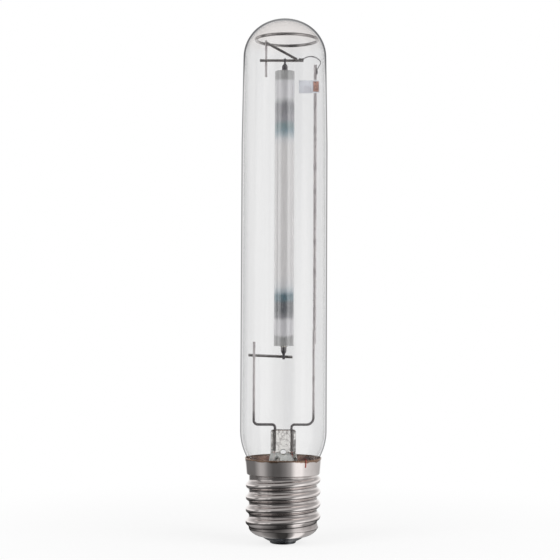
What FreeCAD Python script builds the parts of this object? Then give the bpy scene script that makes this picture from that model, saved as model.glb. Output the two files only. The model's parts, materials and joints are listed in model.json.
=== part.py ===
import FreeCAD, Part
import math
import os
from FreeCAD import Vector

# Clear tubular discharge lamp with a giant screw cap, in millimetres.
# The lamp stands on its centre contact: the origin is the middle of the contact's
# underside, +Z runs up the lamp's axis, X is across the wire frame, -Y is the front.

# Screw cap, a thin rolled shell with a round thread
SHELL_WALL = 0.35
THREAD_PITCH = 6.35
THREAD_ROOT_RADIUS = 17.95
THREAD_DEPTH = 1.8
THREAD_CREST_RADIUS = THREAD_ROOT_RADIUS + THREAD_DEPTH
RIM_Z = 44.8
RIM_RADIUS = THREAD_CREST_RADIUS + 0.35
SKIRT_HEIGHT = 8.8
SKIRT_BOTTOM_Z = RIM_Z - SKIRT_HEIGHT
SKIRT_BOTTOM_RADIUS = RIM_RADIUS - 0.75
SKIRT_BEAD = 0.8
CAP_FLOOR_Z = 3.9
CAP_FLOOR_RADIUS = THREAD_ROOT_RADIUS - 5.95
CAP_CORNER_HEIGHT = 3.7
CAP_CORNER_VIA = (THREAD_ROOT_RADIUS - 1.65, CAP_FLOOR_Z + 1.7)
THREAD_DATUM_Z = SKIRT_BOTTOM_Z - 9.0
THREAD_FIRST_TURN = -5
THREAD_END_TURN = 2
FADE_IN_TURNS = (-3.15, -2.75)
FADE_OUT_TURNS = (1.0, 1.4)
THREAD_FLAT_COUNT = 12
POINTS_PER_TURN = 24
SEAM_ANGLE = 37.0

# Dark glass insulator and centre contact
INSULATOR_TOP_Z = CAP_FLOOR_Z + 3.5
INSULATOR_TOP_RADIUS = CAP_FLOOR_RADIUS + 2.6
INSULATOR_TIP_Z = 1.3
INSULATOR_LEDGE = 0.4
CONTACT_RADIUS = 6.9
CONTACT_EDGE = 0.9
CONTACT_FACE_RADIUS = CONTACT_RADIUS - CONTACT_EDGE
CONTACT_SHANK_RADIUS = 2.6
CONTACT_SHANK_TOP_Z = INSULATOR_TOP_Z + 1.2
CONTACT_BORE_RADIUS = 0.725
SOLDER_RADIUS = CONTACT_SHANK_RADIUS - 0.4
SOLDER_DEPTH = 1.0

# Glass bulb
LAMP_LENGTH = 276.6
NECK_PLAY = 1.6
NECK_RADIUS = THREAD_ROOT_RADIUS - SHELL_WALL - NECK_PLAY
BULB_RADIUS = NECK_RADIUS + 6.75
BULB_WALL = 1.2
DOME_RADIUS = BULB_RADIUS - 0.8
DOME_SIDE_RADIUS = DOME_RADIUS - 1.95
DOME_SIDE_ANGLE = 60.0
TAPER_START_Z = LAMP_LENGTH - 66.6
SHOULDER_Z = RIM_Z + 14.2
RIM_GAP = 0.6
NECK_BLEND_RADIUS = 8.0
NECK_END_Z = 22.0

# Cement ring in the skirt
CEMENT_BOTTOM_Z = SKIRT_BOTTOM_Z + 2.0
CEMENT_TOP_Z = RIM_Z - 0.9

# Glass stem: flare, tube and flat press
STEM_RADIUS = 8.2
STEM_WALL = 1.3
STEM_BORE_TOP_Z = RIM_Z - 3.8
FLARE_START_Z = NECK_END_Z + 10.0
FLARE_LIP = 1.4
FLARE_SAG = 1.6
PRESS_WIDTH = 13.2
PRESS_DEPTH = 6.0
PRESS_START_Z = RIM_Z + 2.7
PRESS_TOP_Z = PRESS_START_Z + 11.8
PRESS_EDGE = 1.2
TUBE_RADIUS = 2.4
TUBE_BORE_RADIUS = 1.5
TUBE_TOP_Z = RIM_Z + 1.2
TUBE_HOLE_Z = TUBE_TOP_Z + 1.6
TUBE_TIP_Z = NECK_END_Z - 6.0
TUBE_TIP_RADIUS = 0.8
TUBE_TAPER = 5.0

# Arc tube of alumina and what it holds
ARC_BOTTOM_Z = 103.4
ARC_TOP_Z = LAMP_LENGTH - 27.9
ARC_RADIUS = 5.18
ARC_WALL = 0.8
PLUG_LENGTH = 5.8
FEED_RADIUS = 1.5
FEED_INSIDE = 1.4
FEED_OUTSIDE = 2.8
FEED_TAPER = 1.6
FEED_SOCKET = 2.2
FRIT_RADIUS = FEED_RADIUS + 1.4
FRIT_HEIGHT = 0.7
ELECTRODE_DIAMETER = 1.2
ELECTRODE_REACH = 22.0
COIL_WIRE_DIAMETER = 1.2
COIL_GAP = 0.06
COIL_SIDE_COUNT = 6
COIL_TURN_COUNT = 5
COIL_TIP_SETBACK = 1.0
AMALGAM_RADIUS = 0.9
AMALGAM_GAP = 0.1

# Lead rods, welded frame and cap wires
WELD_GAP = 0.02
FRAME_HALF_WIDTH = BULB_RADIUS - 7.15
LEAD_BEND_Z = PRESS_TOP_Z + 2.7
LEAD_END_Z = PRESS_START_Z + 0.5
LEFT_LEAD_X = -FRAME_HALF_WIDTH
LEFT_LEAD_TOP_Z = ARC_BOTTOM_Z + 2.1
LEFT_PRESS_X = -4.4
LEFT_LEAD_DIAMETER = 1.4
LEFT_BEND_RADIUS = 2.2
RIGHT_LEAD_X = FRAME_HALF_WIDTH + 0.2
RIGHT_LEAD_TOP_Z = ARC_BOTTOM_Z + 8.5
RIGHT_PRESS_X = 4.3
RIGHT_LEAD_DIAMETER = 1.3
RIGHT_BEND_RADIUS = 3.6
PRESS_BEND_RADIUS = 1.6
FRAME_ROD_X = RIGHT_LEAD_X + 0.4
FRAME_ROD_DIAMETER = 1.7
FRAME_ROD_BOTTOM_Z = ARC_BOTTOM_Z + 1.0
LOWER_BAR_DIAMETER = 1.5
LOWER_BAR_LEFT = (LEFT_LEAD_X - 3.0, ARC_BOTTOM_Z - 5.0)
LOWER_BAR_RIGHT = (4.7, ARC_BOTTOM_Z - 5.95)
LOWER_TAIL_DIAMETER = 1.4
LOWER_TAIL_BOTTOM_Z = ARC_BOTTOM_Z - 7.1
UPPER_BAR_DIAMETER = 1.5
UPPER_BAR_Z = ARC_TOP_Z + 6.1
UPPER_BAR_LEFT_X = LEFT_LEAD_X + 2.3
UPPER_BAR_RIGHT_X = FRAME_ROD_X - 6.3
UPPER_TAIL_DIAMETER = 1.0
UPPER_TAIL_TOP_Z = UPPER_BAR_Z + 0.9
FRAME_ROD_TOP_Z = UPPER_BAR_Z - 2.2
CAP_WIRE_DIAMETER = 0.45
CAP_WIRE_BEND = 1.5
SIDE_WIRE_ANGLE = -54.6
SIDE_WIRE_LOW_Z = NECK_END_Z - 3.5
SIDE_WIRE_TAIL = 3.8
SIDE_WIRE_PLAY = 0.06
SIDE_WIRE_TIGHT_BEND = 0.27

# Ring that springs against the dome, with its stay and brace
RING_Z = LAMP_LENGTH - DOME_SIDE_RADIUS + 9.0
RING_WIRE_DIAMETER = 1.6
RING_RADIUS = DOME_RADIUS - BULB_WALL - 4.45
STAY_X = UPPER_BAR_LEFT_X + 3.3
STAY_DIAMETER = 1.3
STAY_BOTTOM_Z = UPPER_BAR_Z - 8.6
STAY_BEND = 1.5
BRACE_DIAMETER = 1.4
BRACE_TOP_Z = RING_Z - 1.2
BRACE_END_X = UPPER_BAR_RIGHT_X - 3.5
BRACE_END_Z = UPPER_BAR_Z + 0.4

# Bowed ribbon between the upper crossbar and the frame rod
STRAP_THICKNESS = 0.3
STRAP_WIDTH = 2.2
STRAP_LAP = 2.6
STRAP_BOW = 2.4
STRAP_REACH = 2.4

# Getter flag on the frame rod
FLAG_RIGHT_X = FRAME_ROD_X + 2.1
FLAG_LEFT_X = ARC_RADIUS + 2.32
FLAG_TOP_Z = ARC_TOP_Z - 4.4
FLAG_HEIGHT = 6.8
FLAG_SHEET = 0.25
FLAG_FOLD_X = FLAG_RIGHT_X - 4.7
FLAG_FOLD_DEPTH = 1.0
GETTER_WIDTH = 2.85
GETTER_THICKNESS = 0.5
GETTER_MARGIN = 0.7

DIAGONAL = math.sqrt(0.5)


def on_radius(radius, angle, z):
    """A point at a radius and an angle round the lamp's axis."""
    turned_by = math.radians(angle)
    return Vector(radius * math.cos(turned_by), radius * math.sin(turned_by), z)


def turned(*outline):
    """A solid of revolution. Each item is a point (r, z), or (via, end) for an arc."""
    edges = []
    start = Vector(outline[0][0], 0, outline[0][1])
    first = start
    for item in outline[1:]:
        if isinstance(item[0], tuple):
            via = Vector(item[0][0], 0, item[0][1])
            end = Vector(item[1][0], 0, item[1][1])
            edges.append(Part.Arc(start, via, end).toShape())
        else:
            end = Vector(item[0], 0, item[1])
            edges.append(Part.makeLine(start, end))
        start = end
    if start.distanceToPoint(first) > 1e-6:
        edges.append(Part.makeLine(start, first))
    face = Part.Face(Part.Wire(edges))
    return face.revolve(Vector(0, 0, 0), Vector(0, 0, 1), 360)


def rod(start, end, diameter):
    """A straight round rod between two points."""
    along = end - start
    return Part.makeCylinder(diameter / 2, along.Length, start, along)


def bent_path(corners, bend_radius):
    """A path of straight lines with a round bend of one radius at each inner corner."""
    edges = []
    start = corners[0]
    for before, corner, after in zip(corners, corners[1:], corners[2:]):
        back = (before - corner).normalize()
        ahead = (after - corner).normalize()
        half_angle = back.getAngle(ahead) / 2
        setback = bend_radius / math.tan(half_angle)
        middle = (back + ahead).normalize()
        centre = corner + middle * (bend_radius / math.sin(half_angle))
        arc_start = corner + back * setback
        arc_end = corner + ahead * setback
        edges.append(Part.makeLine(start, arc_start))
        edges.append(Part.Arc(arc_start, centre - middle * bend_radius, arc_end).toShape())
        start = arc_end
    edges.append(Part.makeLine(start, corners[-1]))
    return Part.Wire(edges)


def bent_wire(corners, bend_radius, diameter):
    """A round wire bent at its corners."""
    path = bent_path(corners, bend_radius)
    section = Part.makeCircle(diameter / 2, corners[0], corners[1] - corners[0])
    return path.makePipe(Part.Face(Part.Wire(section)))


def upside_down(shape, mid_z):
    """The same shape turned upside down about a height."""
    return shape.mirror(Vector(0, 0, mid_z), Vector(0, 0, 1))


# Helical bands

def helix_edge(radius_at, rise_at, turn):
    """One turn of a helix, whose radius and height may follow the turns climbed."""
    points = []
    for step in range(POINTS_PER_TURN + 1):
        climbed = turn + step / POINTS_PER_TURN
        points.append(on_radius(radius_at(climbed), 360 * climbed, rise_at(climbed)))
    curve = Part.BSplineCurve()
    curve.interpolate(points)
    return curve.toShape()


def sewn_solid(faces):
    """One closed solid sewn from faces that share their edges."""
    shell = Part.makeShell(faces)
    shell.sewShape()
    solid = Part.makeSolid(Part.Shell(shell.Faces))
    if solid.Volume < 0:
        solid.reverse()
    return solid


def faded(climbed):
    """How much of the thread's depth stands at a point: none at its two run-outs."""
    start, full = FADE_IN_TURNS
    shrink, end = FADE_OUT_TURNS
    rising = min(max((climbed - start) / (full - start), 0.0), 1.0)
    falling = min(max((end - climbed) / (end - shrink), 0.0), 1.0)
    share = min(rising, falling)
    return share * share * (3 - 2 * share)


def knuckle_profile():
    """One pitch of the round thread, as (height from the crest, share of the depth).

    Two equal arcs, one over the crest and one in the root, meet a quarter pitch from
    the crest, and each is drawn with flats, so the wall is made of ruled bands.
    """
    depth = THREAD_CREST_RADIUS - THREAD_ROOT_RADIUS
    quarter = THREAD_PITCH / 4
    arc_radius = (quarter ** 2 + (depth / 2) ** 2) / depth
    half_angle = math.asin(quarter / arc_radius)
    half_steps = THREAD_FLAT_COUNT // 4
    angles = [half_angle * step / half_steps for step in range(half_steps + 1)]
    lower = []
    for angle in angles:
        height = -THREAD_PITCH / 2 + arc_radius * math.sin(angle)
        lower.append((height, arc_radius * (1 - math.cos(angle)) / depth))
    for angle in reversed(angles[:-1]):
        height = -arc_radius * math.sin(angle)
        lower.append((height, 1 - arc_radius * (1 - math.cos(angle)) / depth))
    upper = [(-height, share) for height, share in reversed(lower[:-1])]
    return lower + upper


def threaded_core(inset):
    """A solid core with the knuckle thread on it, its ends outside the cap's height."""
    root_radius = THREAD_ROOT_RADIUS - inset
    depth = THREAD_CREST_RADIUS - THREAD_ROOT_RADIUS
    profile = knuckle_profile()

    def radius_at(share, climbed):
        return root_radius + depth * share * faded(climbed)

    def band_edge(place, turn):
        height, share = profile[place]
        return helix_edge(
            lambda climbed: radius_at(share, climbed),
            lambda climbed: THREAD_DATUM_Z + height + THREAD_PITCH * climbed,
            turn,
        )

    def spiral_floor(place, turn):
        base_z = THREAD_DATUM_Z + profile[place][0] + THREAD_PITCH * turn
        axis = Part.makeLine(Vector(0, 0, base_z), Vector(0, 0, base_z + THREAD_PITCH))
        return Part.makeRuledSurface(band_edge(place, turn), axis)

    def step_face(turn):
        base_z = THREAD_DATUM_Z + THREAD_PITCH * turn
        corners = [
            Vector(radius_at(share, turn), 0, base_z + height) for height, share in profile
        ]
        corners.append(Vector(0, 0, base_z + THREAD_PITCH / 2))
        corners.append(Vector(0, 0, base_z - THREAD_PITCH / 2))
        return Part.Face(Part.makePolygon(corners + corners[:1]))

    faces = [
        spiral_floor(0, THREAD_FIRST_TURN),
        step_face(THREAD_FIRST_TURN),
        step_face(THREAD_END_TURN),
        spiral_floor(len(profile) - 1, THREAD_END_TURN - 1),
    ]
    for turn in range(THREAD_FIRST_TURN, THREAD_END_TURN):
        for place in range(len(profile) - 1):
            faces.append(
                Part.makeRuledSurface(band_edge(place, turn), band_edge(place + 1, turn))
            )
    return sewn_solid(faces)


def coiled_bar(mean_radius, wire_radius, bottom_z, pitch):
    """A close coil of COIL_TURN_COUNT turns round the axis, its wire drawn with flat sides."""

    def side_edge(side, turn):
        angle = 2 * math.pi * side / COIL_SIDE_COUNT
        radius = mean_radius + wire_radius * math.cos(angle)
        lift = bottom_z + wire_radius * math.sin(angle)
        return helix_edge(
            lambda climbed: radius,
            lambda climbed: lift + pitch * climbed,
            turn,
        )

    def end_face(climbed):
        corners = []
        for side in range(COIL_SIDE_COUNT):
            angle = 2 * math.pi * side / COIL_SIDE_COUNT
            radius = mean_radius + wire_radius * math.cos(angle)
            lift = bottom_z + pitch * climbed + wire_radius * math.sin(angle)
            corners.append(on_radius(radius, 360 * climbed, lift))
        return Part.Face(Part.makePolygon(corners + corners[:1]))

    faces = [end_face(0), end_face(COIL_TURN_COUNT)]
    for turn in range(COIL_TURN_COUNT):
        for side in range(COIL_SIDE_COUNT):
            after = (side + 1) % COIL_SIDE_COUNT
            faces.append(Part.makeRuledSurface(side_edge(side, turn), side_edge(after, turn)))
    return sewn_solid(faces)


# Glass bulb

def dome_start_z():
    """Height at which the dome's side arc leaves the tube, below the crown's own arc."""
    bend = math.radians(DOME_SIDE_ANGLE)
    offset = DOME_RADIUS - DOME_SIDE_RADIUS
    return LAMP_LENGTH - DOME_SIDE_RADIUS - offset / math.cos(bend) + offset * math.tan(bend)


def bulb_outline(inset):
    """The bulb's wall line, from the bottom of the neck to the top, a wall inset inwards.

    The shoulder is one arc that leaves room for the side wire where it passes the rim.
    The dome is a tighter arc at its side and a flatter one over its crown.
    """
    tube_radius = BULB_RADIUS - inset
    neck_radius = NECK_RADIUS - inset
    side_radius = DOME_SIDE_RADIUS - inset
    dome_offset = DOME_RADIUS - DOME_SIDE_RADIUS
    dome_z = dome_start_z()
    rim_inset = BULB_RADIUS - (RIM_RADIUS - SHELL_WALL - RIM_GAP)
    rim_drop = SHOULDER_Z - RIM_Z
    shoulder_radius = (rim_drop ** 2 + rim_inset ** 2) / (2 * rim_inset) - inset
    blend_radius = NECK_BLEND_RADIUS + inset
    centre_r = tube_radius - shoulder_radius
    across = neck_radius + blend_radius - centre_r
    drop = math.sqrt((shoulder_radius + blend_radius) ** 2 - across ** 2)
    blend_z = SHOULDER_Z - drop
    share = shoulder_radius / (shoulder_radius + blend_radius)
    meet = (centre_r + across * share, SHOULDER_Z - drop * share)
    bend = math.atan2(drop, across)
    upper_via = (
        centre_r + shoulder_radius * math.cos(bend / 2),
        SHOULDER_Z - shoulder_radius * math.sin(bend / 2),
    )
    lower_via = (
        neck_radius + blend_radius - blend_radius * math.cos(bend / 2),
        blend_z + blend_radius * math.sin(bend / 2),
    )
    dome_bend = math.radians(DOME_SIDE_ANGLE)
    crown_radius = side_radius + dome_offset / math.cos(dome_bend)
    crown_z = dome_z - dome_offset * math.tan(dome_bend)
    crown_bend = (dome_bend + math.pi / 2) / 2
    side_via = (
        dome_offset + side_radius * math.cos(dome_bend / 2),
        dome_z + side_radius * math.sin(dome_bend / 2),
    )
    side_end = (
        dome_offset + side_radius * math.cos(dome_bend),
        dome_z + side_radius * math.sin(dome_bend),
    )
    crown_via = (
        crown_radius * math.cos(crown_bend),
        crown_z + crown_radius * math.sin(crown_bend),
    )
    return [
        (neck_radius, NECK_END_Z),
        (neck_radius, blend_z),
        (lower_via, meet),
        (upper_via, (tube_radius, SHOULDER_Z)),
        (tube_radius, TAPER_START_Z),
        (DOME_RADIUS - inset, dome_z),
        (side_via, side_end),
        (crown_via, (0, crown_z + crown_radius)),
    ]


def bulb_form(inset):
    """The bulb's whole form as a solid, without its hollow."""
    return turned((0, NECK_END_Z), *bulb_outline(inset))


def outer_bulb():
    return bulb_form(0).cut(bulb_form(BULB_WALL))


# Screw cap

def skirt_form(inset, bottom_z):
    """The plain conical skirt above the thread, with its small bead below."""
    return turned(
        (0, bottom_z),
        (SKIRT_BOTTOM_RADIUS - SKIRT_BEAD - inset, bottom_z),
        (SKIRT_BOTTOM_RADIUS - inset, bottom_z + SKIRT_BEAD),
        (RIM_RADIUS - inset, RIM_Z),
        (0, RIM_Z),
    )


def cap_envelope(inset, top_z):
    """The space that the threaded part and the rounded bottom of the cap lie in."""
    corner_radius = THREAD_ROOT_RADIUS - inset
    corner_z = CAP_FLOOR_Z + CAP_CORNER_HEIGHT
    room = THREAD_DEPTH * 1.5
    via_r, via_z = CAP_CORNER_VIA
    envelope = turned(
        (0, CAP_FLOOR_Z + inset),
        (CAP_FLOOR_RADIUS, CAP_FLOOR_Z + inset),
        ((via_r - inset * DIAGONAL, via_z + inset * DIAGONAL), (corner_radius, corner_z)),
        (corner_radius + room, corner_z + room),
        (corner_radius + room, top_z),
        (0, top_z),
    )
    return envelope.rotated(Vector(0, 0, 0), Vector(0, 0, 1), SEAM_ANGLE)


def cap_inside():
    """The whole hollow of the cap shell."""
    top_z = SKIRT_BOTTOM_Z + SHELL_WALL
    threaded = threaded_core(SHELL_WALL)
    hollow = threaded.common(cap_envelope(SHELL_WALL, top_z))
    return hollow.fuse(skirt_form(SHELL_WALL, top_z))


def cap_shell(inside):
    threaded = threaded_core(0)
    body = threaded.common(cap_envelope(0, SKIRT_BOTTOM_Z))
    body = body.fuse(skirt_form(0, SKIRT_BOTTOM_Z))
    mouth_base = Vector(0, 0, CAP_FLOOR_Z - SHELL_WALL)
    mouth = Part.makeCylinder(CAP_FLOOR_RADIUS - SHELL_WALL, 3 * SHELL_WALL, mouth_base)
    return body.cut(inside).cut(mouth)


def cap_insulator(inside):
    """Dark glass run into the cap's bottom, with a hole for the contact's shank."""
    seat_radius = CAP_FLOOR_RADIUS - SHELL_WALL
    inner_floor_z = CAP_FLOOR_Z + SHELL_WALL
    tip_radius = CONTACT_RADIUS + INSULATOR_LEDGE
    hollow_via = (
        (tip_radius + seat_radius) / 2 - 0.1,
        (INSULATOR_TIP_Z + CAP_FLOOR_Z) / 2 - 0.3,
    )
    cone = turned(
        (0, INSULATOR_TIP_Z),
        (tip_radius, INSULATOR_TIP_Z),
        (hollow_via, (seat_radius, CAP_FLOOR_Z)),
        (seat_radius, inner_floor_z),
        (0, inner_floor_z),
    )
    dish = turned(
        (0, inner_floor_z),
        (INSULATOR_TOP_RADIUS, inner_floor_z),
        (INSULATOR_TOP_RADIUS, INSULATOR_TOP_Z),
        (0, INSULATOR_TOP_Z),
    )
    glass = cone.fuse(dish.common(inside))
    hole = Part.makeCylinder(CONTACT_SHANK_RADIUS, CONTACT_SHANK_TOP_Z)
    return glass.cut(hole)


def centre_contact():
    """Pressed contact disc with a hollow shank, countersunk below for the solder."""
    middle_r = CONTACT_RADIUS - CONTACT_EDGE
    edge_via = (
        middle_r + CONTACT_EDGE * DIAGONAL,
        CONTACT_EDGE - CONTACT_EDGE * DIAGONAL,
    )
    disc = turned(
        (0, 0),
        (CONTACT_FACE_RADIUS, 0),
        (edge_via, (CONTACT_RADIUS, CONTACT_EDGE)),
        (CONTACT_RADIUS, INSULATOR_TIP_Z),
        (0, INSULATOR_TIP_Z),
    )
    shank = Part.makeCylinder(CONTACT_SHANK_RADIUS, CONTACT_SHANK_TOP_Z)
    bore = Part.makeCylinder(CONTACT_BORE_RADIUS, CONTACT_SHANK_TOP_Z)
    return disc.fuse(shank).cut(bore).cut(solder_form())


def solder_form():
    return turned(
        (0, 0),
        (SOLDER_RADIUS, 0),
        (CONTACT_BORE_RADIUS, SOLDER_DEPTH),
        (0, SOLDER_DEPTH),
    )


def cap_cement(side_wire):
    """Ring of cement that holds the neck in the skirt, round the side wire."""
    height = CEMENT_TOP_Z - CEMENT_BOTTOM_Z
    block = Part.makeCylinder(RIM_RADIUS, height, Vector(0, 0, CEMENT_BOTTOM_Z))
    ring = block.common(skirt_form(SHELL_WALL, SKIRT_BOTTOM_Z + SHELL_WALL))
    return ring.cut(bulb_form(0)).cut(side_wire)


# Glass stem

def press_outline(width, depth, z):
    """The flat press's section, with half-round ends."""
    reach = (width - depth) / 2
    half = depth / 2
    right = Part.Arc(Vector(reach, -half, z), Vector(reach + half, 0, z), Vector(reach, half, z))
    left = Part.Arc(Vector(-reach, half, z), Vector(-reach - half, 0, z), Vector(-reach, -half, z))
    return Part.Wire([
        right.toShape(),
        Part.makeLine(Vector(reach, half, z), Vector(-reach, half, z)),
        left.toShape(),
        Part.makeLine(Vector(-reach, -half, z), Vector(reach, -half, z)),
    ])


def glass_stem(rods):
    """Flared tube pinched flat at its top round the lead rods."""
    seal_radius = NECK_RADIUS - BULB_WALL
    bore_radius = STEM_RADIUS - STEM_WALL
    outer_via = (
        (STEM_RADIUS + seal_radius) / 2 - FLARE_SAG,
        (NECK_END_Z + FLARE_START_Z) / 2 - FLARE_SAG,
    )
    inner_via = (
        outer_via[0] - STEM_WALL * DIAGONAL - 0.3,
        outer_via[1] - STEM_WALL * DIAGONAL,
    )
    flared = turned(
        (bore_radius, STEM_BORE_TOP_Z),
        (STEM_RADIUS, STEM_BORE_TOP_Z),
        (STEM_RADIUS, FLARE_START_Z),
        (outer_via, (seal_radius, NECK_END_Z + FLARE_LIP)),
        (seal_radius, NECK_END_Z),
        (seal_radius - FLARE_LIP, NECK_END_Z),
        (inner_via, (bore_radius, FLARE_START_Z)),
    )
    tube_end = Part.Wire(Part.makeCircle(STEM_RADIUS, Vector(0, 0, STEM_BORE_TOP_Z)))
    pinch = Part.makeLoft(
        [tube_end, press_outline(PRESS_WIDTH, PRESS_DEPTH, PRESS_START_Z)], True
    )
    press = Part.Face(press_outline(PRESS_WIDTH, PRESS_DEPTH, PRESS_START_Z))
    press = press.extrude(Vector(0, 0, PRESS_TOP_Z - PRESS_START_Z))
    top_edges = [edge for edge in press.Edges if edge.BoundBox.ZMin > PRESS_TOP_Z - 0.01]
    press = press.makeFillet(PRESS_EDGE, top_edges)
    stem = flared.fuse([pinch, press])
    socket = Part.makeCylinder(
        TUBE_RADIUS, TUBE_TOP_Z - STEM_BORE_TOP_Z, Vector(0, 0, STEM_BORE_TOP_Z)
    )
    channel = Part.makeCylinder(
        TUBE_BORE_RADIUS, TUBE_HOLE_Z - TUBE_TOP_Z, Vector(0, 0, TUBE_TOP_Z)
    )
    hole = Part.makeCylinder(
        TUBE_BORE_RADIUS, PRESS_DEPTH * 2, Vector(0, -PRESS_DEPTH, TUBE_HOLE_Z), Vector(0, 1, 0)
    )
    return stem.cut([socket, channel, hole] + rods)


def exhaust_tube():
    """Thin tube that the lamp was pumped through, melted shut at its lower tip."""
    taper_z = TUBE_TIP_Z + TUBE_TAPER
    blind_z = TUBE_TIP_Z + TUBE_TAPER / 2
    return turned(
        (0, TUBE_TIP_Z),
        (TUBE_TIP_RADIUS, TUBE_TIP_Z),
        ((TUBE_RADIUS - 0.5, TUBE_TIP_Z + TUBE_TAPER * 0.45), (TUBE_RADIUS, taper_z)),
        (TUBE_RADIUS, TUBE_TOP_Z),
        (TUBE_BORE_RADIUS, TUBE_TOP_Z),
        (TUBE_BORE_RADIUS, taper_z),
        (TUBE_TIP_RADIUS, blind_z),
        (0, blind_z),
    )


# Lead rods and cap wires

def lead_rod(side_x, top_z, press_x, bend_radius, diameter):
    """A rod that stands in the press, turns out sideways and rises beside the arc tube."""
    level = Vector(press_x, 0, LEAD_BEND_Z)
    corner = Vector(side_x, 0, LEAD_BEND_Z)
    joint = Vector((press_x + side_x) / 2, 0, LEAD_BEND_Z)
    lower = bent_path([Vector(press_x, 0, LEAD_END_Z), level, joint], PRESS_BEND_RADIUS)
    upper = bent_path([joint, corner, Vector(side_x, 0, top_z)], bend_radius)
    path = Part.Wire(lower.Edges + upper.Edges)
    section = Part.makeCircle(diameter / 2, Vector(press_x, 0, LEAD_END_Z), Vector(0, 0, 1))
    return path.makePipe(Part.Face(Part.Wire(section)))


def left_lead_rod():
    return lead_rod(
        LEFT_LEAD_X, LEFT_LEAD_TOP_Z, LEFT_PRESS_X, LEFT_BEND_RADIUS, LEFT_LEAD_DIAMETER
    )


def right_lead_rod():
    return lead_rod(
        RIGHT_LEAD_X, RIGHT_LEAD_TOP_Z, RIGHT_PRESS_X, RIGHT_BEND_RADIUS, RIGHT_LEAD_DIAMETER
    )


def centre_lead_wire():
    """From the press down to the solder in the centre contact."""
    corners = [
        Vector(LEFT_PRESS_X, 0, LEAD_END_Z),
        Vector(LEFT_PRESS_X, 0, (CONTACT_SHANK_TOP_Z + TUBE_TIP_Z) / 2 + CAP_WIRE_BEND),
        Vector(0, 0, CONTACT_SHANK_TOP_Z + CAP_WIRE_BEND),
        Vector(0, 0, SOLDER_DEPTH / 2),
    ]
    return bent_wire(corners, CAP_WIRE_BEND, CAP_WIRE_DIAMETER)


def side_lead_wire():
    """From the press, round the end of the neck, up beside it and over the cap's rim."""
    neck_gap_radius = (NECK_RADIUS + THREAD_ROOT_RADIUS - SHELL_WALL) / 2
    inside_radius = RIM_RADIUS - SHELL_WALL - CAP_WIRE_DIAMETER / 2 - SIDE_WIRE_PLAY
    outside_radius = RIM_RADIUS + CAP_WIRE_DIAMETER / 2 + 2 * WELD_GAP
    over_z = RIM_Z + CAP_WIRE_DIAMETER / 2 + WELD_GAP
    entry_z = CEMENT_TOP_Z - 1.0
    drop = on_radius(neck_gap_radius, SIDE_WIRE_ANGLE, SIDE_WIRE_LOW_Z)
    skirt_lean = (RIM_RADIUS - SKIRT_BOTTOM_RADIUS) / (RIM_Z - SKIRT_BOTTOM_Z - SKIRT_BEAD)
    entry_radius = inside_radius - skirt_lean * (over_z - entry_z)
    tail_radius = outside_radius - skirt_lean * (over_z - RIM_Z + SIDE_WIRE_TAIL)
    corners = [
        Vector(RIGHT_PRESS_X, 0, LEAD_END_Z),
        Vector(RIGHT_PRESS_X, 0, SIDE_WIRE_LOW_Z),
        drop,
        on_radius(neck_gap_radius, SIDE_WIRE_ANGLE, SKIRT_BOTTOM_Z - 0.5),
        on_radius(entry_radius, SIDE_WIRE_ANGLE, entry_z),
        on_radius(inside_radius, SIDE_WIRE_ANGLE, over_z),
        on_radius(outside_radius, SIDE_WIRE_ANGLE, over_z),
        on_radius(tail_radius, SIDE_WIRE_ANGLE, RIM_Z - SIDE_WIRE_TAIL),
    ]
    path_low = bent_path(corners[:5], CAP_WIRE_BEND)
    path_high = bent_path(corners[4:], SIDE_WIRE_TIGHT_BEND)
    path = Part.Wire(path_low.Edges + path_high.Edges)
    section = Part.makeCircle(CAP_WIRE_DIAMETER / 2, corners[0], Vector(0, 0, -1))
    return path.makePipeShell([Part.Wire(section)], True, False)


# Welded frame

def beside(diameter_a, diameter_b):
    """Distance between the middles of two round wires welded side by side."""
    return (diameter_a + diameter_b) / 2 + WELD_GAP


def frame_rod_y():
    apart = beside(FRAME_ROD_DIAMETER, RIGHT_LEAD_DIAMETER)
    return math.sqrt(apart ** 2 - (FRAME_ROD_X - RIGHT_LEAD_X) ** 2)


def upper_bar_y():
    return beside(UPPER_BAR_DIAMETER, UPPER_TAIL_DIAMETER)


def stay_y():
    return upper_bar_y() + beside(UPPER_BAR_DIAMETER, STAY_DIAMETER)


def frame_rod():
    return rod(
        Vector(FRAME_ROD_X, frame_rod_y(), FRAME_ROD_BOTTOM_Z),
        Vector(FRAME_ROD_X, frame_rod_y(), FRAME_ROD_TOP_Z),
        FRAME_ROD_DIAMETER,
    )


def lower_crossbar():
    behind = beside(LOWER_BAR_DIAMETER, LEFT_LEAD_DIAMETER)
    left_x, left_z = LOWER_BAR_LEFT
    right_x, right_z = LOWER_BAR_RIGHT
    return rod(
        Vector(left_x, behind, left_z), Vector(right_x, behind, right_z), LOWER_BAR_DIAMETER
    )


def upper_crossbar():
    return rod(
        Vector(UPPER_BAR_LEFT_X, upper_bar_y(), UPPER_BAR_Z),
        Vector(UPPER_BAR_RIGHT_X, upper_bar_y(), UPPER_BAR_Z),
        UPPER_BAR_DIAMETER,
    )


def ring_offset():
    """How far the ring stands to the right, where it springs against the dome's wall."""
    wall_radius = DOME_SIDE_RADIUS - BULB_WALL - RING_WIRE_DIAMETER / 2 - WELD_GAP
    reach = math.sqrt(wall_radius ** 2 - (RING_Z - dome_start_z()) ** 2)
    return DOME_RADIUS - DOME_SIDE_RADIUS + reach - RING_RADIUS


def dome_ring():
    return Part.makeTorus(RING_RADIUS, RING_WIRE_DIAMETER / 2, Vector(ring_offset(), 0, RING_Z))


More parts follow.
